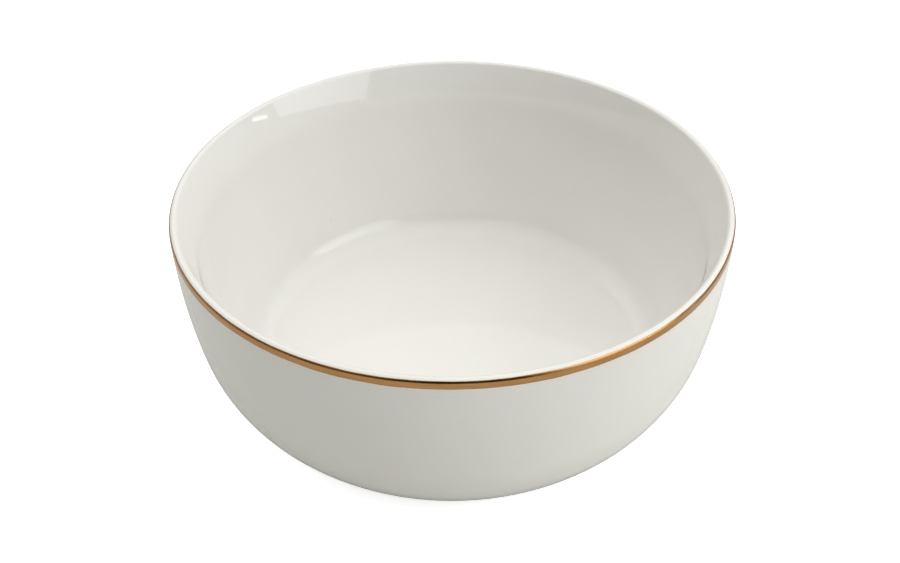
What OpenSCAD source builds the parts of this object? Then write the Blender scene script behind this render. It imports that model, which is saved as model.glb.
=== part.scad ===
// Round porcelain serving bowl with a gold line on the shoulder of its lip.
// Millimetres, +Z up. The origin is the centre of the foot's standing face.

/* [Bowl] */
// Diameter of the glazed bowl at its lip
rim_d = 200; // [180:1:240]
// Height of the bowl from the table to the top of the lip
bowl_h = 85; // [70:0.5:105]
// Thickness of the floor at its centre, with its glaze
base_t = 4.6; // [4:0.1:8]
// Thickness of the wall where the side turns into the floor
haunch_t = 5; // [4:0.1:7]

/* [Lip] */
// Radius of the lip's outer rounding
lip_out_r = 1.6; // [1.2:0.1:2.5]
// Radius of the lip's inner rounding
lip_in_r = 1.5; // [1.2:0.1:3]
// Radius of the gentle flare below the lip, on the inside
flare_r = 101; // [80:1:125]

/* [Side] */
// Radius of the belly, where the side turns in
belly_r = 53.7; // [45:0.1:62]
// Width of the flat ledge and turn outside the foot
ledge_w = 5.6; // [3:0.1:9]

/* [Foot] */
// Outside diameter of the foot ring at its root
foot_d = 104; // [80:1:130]
// Height of the foot ring
foot_h = 3.1; // [2.5:0.1:5]
// Thickness of the foot ring at its root
foot_t = 5.5; // [4.5:0.1:8]
// Height of the bare strip above the standing face
bare_h = 0.8; // [0.5:0.1:1.2]

/* [Glaze and gold] */
// Thickness of the glaze
glaze_t = 0.25; // [0.2:0.01:0.4]
// Width of the gold line, measured over the surface
band_w = 3; // [2.5:0.1:6]
// Thickness of the gold line
band_t = 0.15; // [0.12:0.01:0.25]

/* [Hidden] */
$fn = 180;

rim_r = rim_d / 2;
foot_r = foot_d / 2;
well_r = foot_r - foot_t;
floor_h = foot_h + base_t;
biscuit_h = foot_h + glaze_t; // the plane where the body meets the foot ring

// Directions of travel, in degrees from straight down and positive towards the axis
side_a = 11;      // the outer side, where the belly begins
turn_a = 43;      // the belly, where the last turn under the bowl begins
gilt_a = -47;     // the lip's outer rounding, where the gold line begins
lip_a = 23;       // the inner side, just below the lip
flare_a = 16.3;   // the end of the flare
neck_a = 4.5;     // the steepest place of the inner side
inner_a = 12;     // the inner side, where the haunch begins
haunch_a = 27;    // the haunch, where the corner begins
station_a = 38;   // the place on the belly that the haunch's thickness is taken from
floor_a = 82;     // the corner, where the floor begins
foot_a = 12;      // the taper of the foot

ease_r = 30;      // turn between the flare and the inner side
fillet_r = 1.2;   // root of the foot, outside and inside
edge_r = 0.5;     // edges of the standing face
floor_steps = 8;

// A curve is a list of [point, direction], and a point is [radius, height].
function start(p, a) = [[p, a]];
function tail(curve) = [for (i = [1 : len(curve) - 1]) curve[i]];
function end(curve) = curve[len(curve) - 1];
function points(curve) = [for (c = curve) c[0]];
function back(list) = [for (i = [len(list) - 1 : -1 : 0]) list[i]];
function normal(a) = [cos(a), -sin(a)];
function moved(curve, t) = [for (c = curve) [c[0] + t * normal(c[1]), c[1]]];
// Step back from the end of an arc of radius 1 to its start
function span(a, b) = [cos(a) - cos(b), sin(b) - sin(a)];
// The curve, carried on along an arc of radius r to direction b in n steps
function bend(curve, b, r, n) = let (p = end(curve)[0], a = end(curve)[1])
    concat(curve, [for (i = [1 : n]) let (c = a + (b - a) * i / n) [p - r * span(a, c), c]]);
// The curve, carried on in a straight line down to height z
function down_to(curve, z) = let (p = end(curve)[0], a = end(curve)[1])
    concat(curve, [[[p[0] - (p[1] - z) * tan(a), z], a]]);
// Radii of two arcs with spans u and v that lead from point p to point q
function two_radii(p, q, u, v) = let (d = p - q, det = u[0] * v[1] - u[1] * v[0])
    [(d[0] * v[1] - d[1] * v[0]) / det, (u[0] * d[1] - u[1] * d[0]) / det];

// Outer surface, from the top of the lip to the foot
crest = [rim_r - lip_out_r, bowl_h];
shoulder = [rim_r, bowl_h - lip_out_r];
ledge = [foot_r + ledge_w, foot_h];
outer_radii = two_radii(shoulder - belly_r * span(side_a, turn_a), ledge, span(0, side_a), span(turn_a, 90));
band_a = (band_w * 180 / PI + lip_out_r * gilt_a) / outer_radii[0]; // direction where the gold line ends
lip_top = bend(start(crest, -90), gilt_a, lip_out_r, 4);
lip_edge = bend([end(lip_top)], 0, lip_out_r, 3);
lip_over = concat(lip_top, tail(lip_edge));
band_low = bend(start(shoulder, 0), band_a, outer_radii[0], 2);
band_line = concat(lip_edge, tail(band_low));
side_line = bend(band_low, side_a, outer_radii[0], 7);
belly_line = bend(side_line, turn_a, belly_r, 8);
turn_line = bend(belly_line, 90, outer_radii[1], 9);
foot_root = [foot_r + fillet_r, foot_h];
outer_wall = concat(turn_line, start(foot_root, 90));
foot_outer = down_to(bend(start(foot_root, 90), foot_a, -fillet_r, 4), bare_h);

// Inner surface, from the top of the lip to the centre of the floor
station = end(side_line)[0] - belly_r * span(side_a, station_a);
haunch = station - haunch_t * normal(station_a);
floor_centre = [0, floor_h];
lip_inner = bend(start(crest, 90), lip_a, -lip_in_r, 5);
mouth_line = bend(bend(lip_inner, flare_a, -flare_r, 4), neck_a, -ease_r, 4);
inner_radii = two_radii(end(mouth_line)[0], haunch, span(neck_a, inner_a), span(inner_a, haunch_a));
floor_radii = two_radii(haunch, floor_centre, span(haunch_a, floor_a), span(floor_a, 90));
inner_side = bend(bend(mouth_line, inner_a, inner_radii[0], 4), haunch_a, inner_radii[1], 4);
corner_line = bend(inner_side, floor_a, floor_radii[0], 8);
floor_line = bend(corner_line, 90 - (90 - floor_a) / floor_steps, floor_radii[1], floor_steps - 1);
inner_wall = concat(floor_line, start(floor_centre, 90));

// Underside within the foot, from the centre to the foot
well_root = [well_r - fillet_r, foot_h];
well_corner = bend(start(well_root, -90), -foot_a, fillet_r, 4);
well_all = concat(start([0, foot_h], -90), down_to(well_corner, bare_h));

// Biscuit sides of the foot, down to the standing face
tip_h = edge_r * (1 - sin(foot_a));
foot_outer_biscuit = bend(down_to(moved(foot_outer, -glaze_t), tip_h), 90, edge_r, 3);
foot_inner_biscuit = bend(down_to(moved(tail(well_all), glaze_t), tip_h), -90, -edge_r, 3);

porcelain = [0.95, 0.94, 0.91];
glazed = [0.90, 0.89, 0.86];
gold = [0.74, 0.54, 0.28];

// A solid of revolution between two curves
module layer(near, far) {
    rotate_extrude() polygon(concat(points(near), back(points(far))));
}

// Fired wall and floor of the bowl
module bowl_body() {
    outside = points(moved(concat(lip_over, tail(outer_wall)), -glaze_t));
    bottom = [[well_root[0], biscuit_h], [0, biscuit_h]];
    inside = back(points(moved(tail(inner_wall), glaze_t)));
    color(porcelain) rotate_extrude() polygon(concat(outside, bottom, inside));
}

// Ring that the bowl stands on, bare on its standing face
module foot_ring() {
    color(porcelain) layer(foot_outer_biscuit, foot_inner_biscuit);
}

// Glaze of the inside, over the lip to its edge under the gold line
module inside_glaze() {
    over = concat(back(lip_over), tail(inner_wall));
    under = concat(back(moved(lip_over, -glaze_t)), moved(tail(inner_wall), glaze_t));
    color(glazed) layer(over, under);
}

// Glaze of the outside, from the lip's edge to just above the standing face
module outside_glaze() {
    over = concat(outer_wall, tail(foot_outer));
    color(glazed) layer(over, moved(over, -glaze_t));
}

// Glaze of the underside within the foot
module foot_well_glaze() {
    color(glazed) layer(well_all, moved(well_all, glaze_t));
}

// Gold line over the lip's outer rounding and the top of the side
module gilt_band() {
    color(gold) layer(band_line, moved(band_line, band_t));
}

bowl_body();
foot_ring();
inside_glaze();
outside_glaze();
foot_well_glaze();
gilt_band();
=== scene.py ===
# Porcelain serving bowl with a gilt line on its lip, standing on a pale table
from math import asin, cos, degrees, pi, radians, sin, tan

import bpy
from mathutils import Matrix, Vector


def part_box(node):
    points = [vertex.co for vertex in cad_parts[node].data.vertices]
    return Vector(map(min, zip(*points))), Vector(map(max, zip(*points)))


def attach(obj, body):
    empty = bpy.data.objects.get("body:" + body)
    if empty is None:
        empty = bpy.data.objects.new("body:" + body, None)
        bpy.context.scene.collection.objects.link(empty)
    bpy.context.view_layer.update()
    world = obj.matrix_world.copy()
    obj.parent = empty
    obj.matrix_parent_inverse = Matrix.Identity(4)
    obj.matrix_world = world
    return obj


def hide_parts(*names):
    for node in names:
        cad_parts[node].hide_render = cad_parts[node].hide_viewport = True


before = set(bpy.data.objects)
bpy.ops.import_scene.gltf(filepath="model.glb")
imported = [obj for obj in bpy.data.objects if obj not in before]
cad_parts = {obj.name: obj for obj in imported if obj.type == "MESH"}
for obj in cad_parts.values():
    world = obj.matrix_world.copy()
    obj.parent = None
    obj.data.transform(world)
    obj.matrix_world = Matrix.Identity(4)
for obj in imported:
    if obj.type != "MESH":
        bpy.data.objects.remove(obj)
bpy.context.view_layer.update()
print("stage: frame loaded")

view = {"place": (0.0011, -0.3721, 0.3341), "down": 37.9, "turn": 0.26, "roll": 0.45,
        "lens": 50, "film": 36, "near": 0.01}


def makeCamera():
    data = bpy.data.cameras.new("viewCamera")
    data.lens = view["lens"]
    data.sensor_width = view["film"]
    data.clip_start = view["near"]
    camera = bpy.data.objects.new("viewCamera", data)
    bpy.context.scene.collection.objects.link(camera)
    camera.matrix_world = (Matrix.Translation(view["place"])
                           @ Matrix.Rotation(radians(90 - view["down"]), 4, "X")
                           @ Matrix.Rotation(radians(view["turn"]), 4, "Y")
                           @ Matrix.Rotation(radians(-view["roll"]), 4, "Z"))
    bpy.context.scene.camera = camera


makeCamera()
print("stage: camera")

# Sizes that the frame gives, in metres
glazeT = 0.00025
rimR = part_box("outside_glaze")[1].x
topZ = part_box("inside_glaze")[1].z
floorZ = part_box("inside_glaze")[0].z + glazeT
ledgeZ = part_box("foot_well_glaze")[1].z - glazeT
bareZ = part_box("outside_glaze")[0].z
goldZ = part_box("gilt_band")[0].z

# The wall's radii and widths in metres, and its directions in degrees from straight down
wall = {"lipOutR": 0.0016, "lipInR": 0.0015, "flareR": 0.101, "easeR": 0.030, "bellyR": 0.0537,
        "haunchT": 0.005, "footR": 0.052, "footT": 0.0055, "ledgeW": 0.0056, "filletR": 0.0012}
turns = {"lip": 23, "flare": 16.3, "neck": 4.5, "inner": 12, "haunch": 27, "floor": 82,
         "side": 11, "station": 38, "turn": 43, "foot": 12}
rounds = 288
edgeZ = topZ - wall["lipOutR"]


# A path is a list of (radius, height, direction of travel)
def span(a, b):
    return Vector((cos(radians(a)) - cos(radians(b)), sin(radians(b)) - sin(radians(a))))


def bend(path, target, radius, steps):
    r, z, a = path[-1]
    for i in range(1, steps + 1):
        c = a + (target - a) * i / steps
        step = radius * span(a, c)
        path.append((r - step.x, z - step.y, c))
    return path


def straight(path, height, steps=1):
    r, z, a = path[-1]
    for i in range(1, steps + 1):
        h = z + (height - z) * i / steps
        path.append((r - (z - h) * tan(radians(a)), h, a))
    return path


# Radii of two arcs with spans u and v that lead from p to q
def twoRadii(p, q, u, v):
    d = Vector(p) - Vector(q)
    det = u.x * v.y - u.y * v.x
    return (d.x * v.y - d.y * v.x) / det, (u.x * d.y - u.y * d.x) / det


def offset(path, depth):
    return [(r + depth * cos(radians(a)), z - depth * sin(radians(a)), a) for r, z, a in path]


def outerPath():
    belly = wall["bellyR"] * span(turns["side"], turns["turn"])
    ledge = (wall["footR"] + wall["ledgeW"], ledgeZ)
    sideR, turnR = twoRadii((rimR - belly.x, edgeZ - belly.y), ledge, span(0, turns["side"]),
                            span(turns["turn"], 90))
    path = bend([(rimR, edgeZ, 0)], turns["side"], sideR, 26)
    sideEnd = path[-1]
    bend(path, turns["turn"], wall["bellyR"], 18)
    bend(path, 90, turnR, 18)
    path.append((wall["footR"] + wall["filletR"], ledgeZ, 90))
    bend(path, turns["foot"], -wall["filletR"], 8)
    return path, sideEnd, sideR


def innerPath(sideEnd):
    path = bend([(rimR - wall["lipOutR"], topZ, 90)], turns["lip"], -wall["lipInR"], 10)
    bend(path, turns["flare"], -wall["flareR"], 10)
    bend(path, turns["neck"], -wall["easeR"], 8)
    slope = radians(turns["station"])
    belly = wall["bellyR"] * span(turns["side"], turns["station"])
    haunch = (sideEnd[0] - belly.x - wall["haunchT"] * cos(slope),
              sideEnd[1] - belly.y + wall["haunchT"] * sin(slope))
    innerR, haunchR = twoRadii(path[-1][:2], haunch, span(turns["neck"], turns["inner"]),
                               span(turns["inner"], turns["haunch"]))
    bend(path, turns["inner"], innerR, 14)
    bend(path, turns["haunch"], haunchR, 12)
    cornerR, floorR = twoRadii(haunch, (0, floorZ), span(turns["haunch"], turns["floor"]),
                               span(turns["floor"], 90))
    bend(path, turns["floor"], cornerR, 24)
    bend(path, 90, floorR, 40)
    path[-1] = (0, floorZ, 90)
    return path


def wellPath():
    path = [(0, ledgeZ, -90)]
    rootR = wall["footR"] - wall["footT"] - wall["filletR"]
    for i in range(1, 13):
        path.append((rootR * i / 12, ledgeZ, -90))
    return bend(path, -turns["foot"], wall["filletR"], 8)


outer, sideEnd, sideR = outerPath()
inner = innerPath(sideEnd)
lip = bend([(rimR - wall["lipOutR"], topZ, -90)], 0, wall["lipOutR"], 14)
well = wellPath()


# Draws the path by extruding one point, spins it round the upright axis and closes it
def turnOnWheel(name, path, inward=False):
    bpy.ops.object.select_all(action="DESELECT")
    bpy.ops.mesh.primitive_plane_add(size=0.001)
    piece = bpy.context.object
    piece.name = piece.data.name = name
    bpy.ops.object.mode_set(mode="EDIT")
    bpy.ops.mesh.merge(type="CENTER")
    bpy.ops.transform.translate(value=(path[0][0], 0, path[0][1]))
    for (r0, z0, _), (r1, z1, _) in zip(path, path[1:]):
        bpy.ops.mesh.extrude_region_move(TRANSFORM_OT_translate={"value": (r1 - r0, 0, z1 - z0)})
    bpy.ops.mesh.select_all(action="SELECT")
    bpy.ops.mesh.spin(steps=rounds, angle=2 * pi, center=(0, 0, 0), axis=(0, 0, 1))
    bpy.ops.mesh.select_all(action="SELECT")
    bpy.ops.mesh.remove_doubles(threshold=0.000004)
    bpy.ops.mesh.normals_make_consistent(inside=inward)
    bpy.ops.object.mode_set(mode="OBJECT")
    return piece


def applyAll(piece):
    bpy.ops.object.select_all(action="DESELECT")
    piece.select_set(True)
    bpy.context.view_layer.objects.active = piece
    for modifier in list(piece.modifiers):
        bpy.ops.object.modifier_apply(modifier=modifier.name)
    bpy.ops.object.shade_smooth()


def cloudTexture(name, size, depth=1):
    texture = bpy.data.textures.new(name, "CLOUDS")
    texture.noise_scale = size
    texture.noise_depth = depth
    return texture


def addWaves(piece, size, depth, level=1, direction="NORMAL", group=""):
    waves = piece.modifiers.new("waves", "DISPLACE")
    waves.texture = cloudTexture(piece.name + "Waves", size)
    waves.texture_coords = "LOCAL"
    waves.direction = direction
    waves.strength = depth
    waves.mid_level = level
    waves.vertex_group = group


def addThickness(piece, depth):
    thickness = piece.modifiers.new("thickness", "SOLIDIFY")
    thickness.thickness = depth
    thickness.offset = -1
    thickness.use_even_offset = True


glazing = {"waveSize": 0.05, "waveDepth": 0.00005, "bead": 0.00012, "beadH": 0.0009, "film": 0.00022}


# A coat that stops on the foot swells a little before it ends
def addBead(path):
    straight(path, bareZ + glazing["beadH"], 2)
    steps = 10
    start = path[-1]
    drop = [straight([start], start[1] + (bareZ - start[1]) * i / steps)[-1] for i in range(1, steps + 1)]
    for i, point in enumerate(drop, 1):
        path += offset([point], glazing["bead"] * sin(pi * i / steps) ** 2 * (1 if point[2] > 0 else -1))
    return path


def makeGlaze():
    coat = addBead(list(outer))
    glaze = turnOnWheel("glaze", inner[::-1] + lip[1:] + coat[1:])
    addWaves(glaze, glazing["waveSize"], glazing["waveDepth"])
    applyAll(glaze)
    return glaze


# The coat is parted at the lip's edge, under the gold
def partGlaze(glaze):
    for face in glaze.data.polygons:
        outward = face.normal.x * face.center.x + face.normal.y * face.center.y
        face.select = face.center.z < edgeZ and (outward > 0 or face.normal.z < -0.5)
    for part in list(glaze.data.vertices) + list(glaze.data.edges):
        part.select = False
    bpy.ops.object.select_all(action="DESELECT")
    glaze.select_set(True)
    bpy.context.view_layer.objects.active = glaze
    bpy.ops.object.mode_set(mode="EDIT")
    bpy.ops.mesh.select_mode(type="FACE")
    bpy.ops.mesh.separate(type="SELECTED")
    bpy.ops.mesh.select_mode(type="VERT")
    bpy.ops.object.mode_set(mode="OBJECT")
    outside = [o for o in bpy.context.selected_objects if o is not glaze][0]
    glaze.name = glaze.data.name = "insideGlaze"
    outside.name = outside.data.name = "outsideGlaze"
    for piece in (glaze, outside):
        addThickness(piece, glazing["film"])
        applyAll(piece)
    return glaze, outside


gilding = {"from": -47, "proud": 0.00004, "film": 0.00003, "lowWobble": 0.0003, "topWobble": 0.00025,
           "wobbleSize": 0.006, "lowWobbleSize": 0.0096, "topShare": 0.3, "lowShare": 0.4}


# A line of gold laid over the lip's shoulder by hand, so that its two edges wander a little
def makeGiltLine(glaze):
    low = degrees(asin((edgeZ - goldZ) / sideR))
    path = bend([(rimR - wall["lipOutR"], topZ, -90)], gilding["from"], wall["lipOutR"], 1)[1:]
    bend(path, 0, wall["lipOutR"], 10)
    bend(path, low, sideR, 12)
    line = turnOnWheel("giltLine", path)
    topEdge = line.vertex_groups.new(name="topEdge")
    lowEdge = line.vertex_groups.new(name="lowEdge")
    for vertex in line.data.vertices:
        down = (path[0][1] - vertex.co.z) / (path[0][1] - path[-1][1])
        topEdge.add([vertex.index], max(0, 1 - down / gilding["topShare"]), "REPLACE")
        lowEdge.add([vertex.index], max(0, 1 - (1 - down) / gilding["lowShare"]), "REPLACE")
    addWaves(line, gilding["wobbleSize"], gilding["topWobble"], 0.5, "Z", "topEdge")
    addWaves(line, gilding["lowWobbleSize"], gilding["lowWobble"], 0.5, "Z", "lowEdge")
    wrap = line.modifiers.new("wrap", "SHRINKWRAP")
    wrap.target = glaze
    wrap.wrap_method = "NEAREST_SURFACEPOINT"
    wrap.wrap_mode = "ABOVE_SURFACE"
    wrap.offset = gilding["proud"]
    addThickness(line, gilding["film"])
    applyAll(line)
    return line


glaze = makeGlaze()
giltLine = makeGiltLine(glaze)
insideGlaze, outsideGlaze = partGlaze(glaze)
print("stage: glaze and gilding")


def makeWellGlaze():
    coat = turnOnWheel("wellGlaze", addBead(list(well)), inward=True)
    addWaves(coat, glazing["waveSize"], glazing["waveDepth"] / 2)
    addThickness(coat, glazing["film"])
    applyAll(coat)
    return coat


biscuit = {"under": 0.00025, "edgeR": 0.0005}


# The fired wall and floor below the glaze, a closed solid
def makeBody():
    shell = offset(lip[:-1] + outer[:-8], -biscuit["under"])
    rootR = wall["footR"] - wall["footT"] - wall["filletR"]
    roof = ledgeZ + biscuit["under"]
    hollow = offset(inner, biscuit["under"])[::-1]
    ring = shell + [(rootR, roof, 90), (0, roof, 90)] + hollow
    body = turnOnWheel("biscuitBody", ring[:-1] + [ring[0]])
    applyAll(body)
    return body


# The ring it stands on, bare on its standing face and just above
def makeFoot():
    tip = biscuit["edgeR"] * (1 - sin(radians(turns["foot"])))
    outside = straight(offset(outer[-9:], -biscuit["under"]), tip, 6)
    inside = straight(offset(well[-9:], biscuit["under"]), tip, 6)
    bend(outside, 90, biscuit["edgeR"], 5)
    bend(inside, -90, -biscuit["edgeR"], 5)
    ring = outside + inside[::-1]
    foot = turnOnWheel("footRing", ring + [ring[0]])
    applyAll(foot)
    return foot


wellGlaze = makeWellGlaze()
biscuitBody = makeBody()
footRing = makeFoot()
print("stage: body and foot")


def newMaterial(name):
    material = bpy.data.materials.new(name)
    material.use_nodes = True
    nodes, links = material.node_tree.nodes, material.node_tree.links
    return material, nodes, links, nodes["Principled BSDF"]


def addNoise(nodes, links, scale, detail=2, stretch=(1, 1, 1)):
    place = nodes.new("ShaderNodeTexCoord")
    mapping = nodes.new("ShaderNodeMapping")
    mapping.inputs["Scale"].default_value = stretch
    noise = nodes.new("ShaderNodeTexNoise")
    noise.inputs["Scale"].default_value = scale
    noise.inputs["Detail"].default_value = detail
    links.new(place.outputs["Object"], mapping.inputs["Vector"])
    links.new(mapping.outputs["Vector"], noise.inputs["Vector"])
    return noise.outputs["Fac"]


def addRange(nodes, links, source, low, high, start=0.3, end=0.7):
    change = nodes.new("ShaderNodeMapRange")
    change.inputs["From Min"].default_value = start
    change.inputs["From Max"].default_value = end
    change.inputs["To Min"].default_value = low
    change.inputs["To Max"].default_value = high
    links.new(source, change.inputs["Value"])
    return change.outputs["Result"]


def addMix(nodes, links, factor, first, second):
    mix = nodes.new("ShaderNodeMix")
    mix.data_type = "RGBA"
    for socket, value in ((mix.inputs[6], first), (mix.inputs[7], second)):
        if isinstance(value, tuple):
            socket.default_value = (*value, 1)
        else:
            links.new(value, socket)
    links.new(factor, mix.inputs[0])
    return mix.outputs[2]


def addBump(nodes, links, height, strength, depth, shader):
    bump = nodes.new("ShaderNodeBump")
    bump.inputs["Strength"].default_value = strength
    bump.inputs["Distance"].default_value = depth
    links.new(height, bump.inputs["Height"])
    links.new(bump.outputs["Normal"], shader.inputs["Normal"])


porcelain = {"warm": (0.81, 0.79, 0.755), "clear": (0.83, 0.815, 0.785), "speck": (0.42, 0.38, 0.31),
             "patch": 18, "speckCells": 55, "speckR": (0.008, 0.02), "speckTone": 0.55,
             "smear": 90, "rough": (0.015, 0.035), "peel": 260, "peelDepth": 0.00001, "peelStrength": 0.25,
             "ior": 1.5}


def glazeMaterial():
    material, nodes, links, shader = newMaterial("warmWhiteGlaze")
    tint = addMix(nodes, links, addRange(nodes, links, addNoise(nodes, links, porcelain["patch"], 3), 0, 1),
                  porcelain["warm"], porcelain["clear"])
    place = nodes.new("ShaderNodeTexCoord")
    cells = nodes.new("ShaderNodeTexVoronoi")
    cells.inputs["Scale"].default_value = porcelain["speckCells"]
    links.new(place.outputs["Object"], cells.inputs["Vector"])
    speck = addRange(nodes, links, cells.outputs["Distance"], porcelain["speckTone"], 0, *porcelain["speckR"])
    links.new(addMix(nodes, links, speck, tint, porcelain["speck"]), shader.inputs["Base Color"])
    links.new(addRange(nodes, links, addNoise(nodes, links, porcelain["smear"], 3), *porcelain["rough"]),
              shader.inputs["Roughness"])
    addBump(nodes, links, addNoise(nodes, links, porcelain["peel"], 2), porcelain["peelStrength"],
            porcelain["peelDepth"], shader)
    shader.inputs["IOR"].default_value = porcelain["ior"]
    return material


gilt = {"deep": (0.41, 0.205, 0.07), "bright": (0.50, 0.275, 0.108), "rough": (0.16, 0.30),
        "streak": 320, "stretch": (0.25, 0.25, 3), "smear": 150, "depth": 0.00001, "strength": 0.3}


def giltMaterial():
    material, nodes, links, shader = newMaterial("firedGold")
    streaks = addNoise(nodes, links, gilt["streak"], 4, gilt["stretch"])
    tone = addMix(nodes, links, addRange(nodes, links, streaks, 0, 1), gilt["deep"], gilt["bright"])
    links.new(tone, shader.inputs["Base Color"])
    links.new(addRange(nodes, links, addNoise(nodes, links, gilt["smear"], 4), *gilt["rough"]),
              shader.inputs["Roughness"])
    addBump(nodes, links, streaks, gilt["strength"], gilt["depth"], shader)
    shader.inputs["Metallic"].default_value = 1
    return material


bare = {"pale": (0.80, 0.77, 0.71), "grey": (0.62, 0.59, 0.54), "rough": (0.6, 0.85), "grain": 1800,
        "dust": 60, "dustShare": 0.6, "depth": 0.00005, "strength": 0.5}


def biscuitMaterial():
    material, nodes, links, shader = newMaterial("bareBiscuit")
    dust = addRange(nodes, links, addNoise(nodes, links, bare["dust"], 5), 0, bare["dustShare"])
    links.new(addMix(nodes, links, dust, bare["pale"], bare["grey"]), shader.inputs["Base Color"])
    grain = addNoise(nodes, links, bare["grain"], 3)
    links.new(addRange(nodes, links, grain, *bare["rough"]), shader.inputs["Roughness"])
    addBump(nodes, links, grain, bare["strength"], bare["depth"], shader)
    return material


glazeFinish, giltFinish, biscuitFinish = glazeMaterial(), giltMaterial(), biscuitMaterial()
parts = [(insideGlaze, "inside_glaze", "glaze", glazeFinish),
         (outsideGlaze, "outside_glaze", "glaze", glazeFinish),
         (wellGlaze, "foot_well_glaze", "glaze", glazeFinish),
         (giltLine, "gilt_band", "gold", giltFinish),
         (biscuitBody, "bowl_body", "biscuit", biscuitFinish),
         (footRing, "foot_ring", "biscuit", biscuitFinish)]
for piece, node, slot, material in parts:
    piece.data.materials.clear()
    piece.data.materials.append(material)
    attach(piece, "root")
    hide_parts(node)
print("stage: materials")

# To the camera the table is whiter and glows a little, so that hardly a shadow shows on it
table = {"radius": 0.75, "rough": 0.9, "sheet": (0.735, 0.73, 0.70), "seen": (0.92, 0.92, 0.92), "lift": 0.7}


def makeTable():
    bpy.ops.object.select_all(action="DESELECT")
    bpy.ops.mesh.primitive_circle_add(vertices=96, radius=table["radius"], fill_type="NGON")
    floor = bpy.context.object
    floor.name = "table"
    material, nodes, links, shader = newMaterial("tableTop")
    path = nodes.new("ShaderNodeLightPath")
    links.new(addMix(nodes, links, path.outputs["Is Camera Ray"], table["sheet"], table["seen"]),
              shader.inputs["Base Color"])
    links.new(addRange(nodes, links, path.outputs["Is Camera Ray"], 0, table["lift"], 0, 1),
              shader.inputs["Emission Strength"])
    shader.inputs["Emission Color"].default_value = (1, 1, 1, 1)
    shader.inputs["Roughness"].default_value = table["rough"]
    shader.inputs["Specular IOR Level"].default_value = 0
    floor.data.materials.append(material)


# Azimuth runs from straight ahead towards the right
def toward(azimuth, height, distance):
    a, e = radians(azimuth), radians(height)
    return Vector((sin(a) * cos(e), cos(a) * cos(e), sin(e))) * distance


def addPanel(name, azimuth, height, distance, size, glow, colour):
    data = bpy.data.lights.new(name, "AREA")
    data.shape = "RECTANGLE"
    data.size, data.size_y = size
    data.energy = glow * pi * size[0] * size[1]
    data.color = colour
    lamp = bpy.data.objects.new(name, data)
    bpy.context.scene.collection.objects.link(lamp)
    lamp.location = toward(azimuth, height, distance)
    lamp.rotation_euler = (-lamp.location).to_track_quat("-Z", "Y").to_euler()
    lamp.visible_camera = False


# A shade is its azimuth, height, inner and outer radius in degrees, and how much light it leaves
room = {"low": 0.38, "top": 1.32, "from": 0.34, "to": 0.64, "paper": 1.05, "tint": (0.98, 0.99, 0.96),
        "shades": [(172, 18, 33, 42, 0.04), (232, 4, 25, 45, 0.35)]}


def makeRoom():
    world = bpy.data.worlds.new("studio")
    bpy.context.scene.world = world
    world.use_nodes = True
    nodes, links = world.node_tree.nodes, world.node_tree.links
    place = nodes.new("ShaderNodeTexCoord")
    axes = nodes.new("ShaderNodeSeparateXYZ")
    links.new(place.outputs["Generated"], axes.inputs["Vector"])
    ramp = nodes.new("ShaderNodeMapRange")
    ramp.interpolation_type = "SMOOTHSTEP"
    ramp.inputs["From Min"].default_value = room["from"]
    ramp.inputs["From Max"].default_value = room["to"]
    ramp.inputs["To Min"].default_value = room["low"]
    ramp.inputs["To Max"].default_value = room["top"]
    links.new(axes.outputs["Z"], ramp.inputs["Value"])
    glow = ramp.outputs["Result"]
    for azimuth, height, inside, outside, left in room["shades"]:
        aim = nodes.new("ShaderNodeVectorMath")
        aim.operation = "DOT_PRODUCT"
        aim.inputs[1].default_value = toward(azimuth, height, 1)
        links.new(place.outputs["Generated"], aim.inputs[0])
        shade = addRange(nodes, links, aim.outputs["Value"], 1, left,
                         cos(radians(outside)), cos(radians(inside)))
        product = nodes.new("ShaderNodeMath")
        product.operation = "MULTIPLY"
        links.new(glow, product.inputs[0])
        links.new(shade, product.inputs[1])
        glow = product.outputs["Value"]
    air = nodes["Background"]
    air.inputs["Color"].default_value = (*room["tint"], 1)
    links.new(glow, air.inputs["Strength"])
    paper = nodes.new("ShaderNodeBackground")
    paper.inputs["Color"].default_value = (1, 1, 1, 1)
    paper.inputs["Strength"].default_value = room["paper"]
    path = nodes.new("ShaderNodeLightPath")
    mix = nodes.new("ShaderNodeMixShader")
    links.new(path.outputs["Is Camera Ray"], mix.inputs["Fac"])
    links.new(air.outputs["Background"], mix.inputs[1])
    links.new(paper.outputs["Background"], mix.inputs[2])
    links.new(mix.outputs["Shader"], nodes["World Output"].inputs["Surface"])


makeTable()
makeRoom()
addPanel("windowLight", 120, 27, 1.2, (0.98, 1.0), 1.87, (0.965, 0.98, 1.0))
addPanel("lampLow", 89.3, 8.2, 1.2, (0.16, 0.042), 5, (1, 1, 1))
bpy.context.scene.view_settings.view_transform = "Standard"
print("stage: table and light")
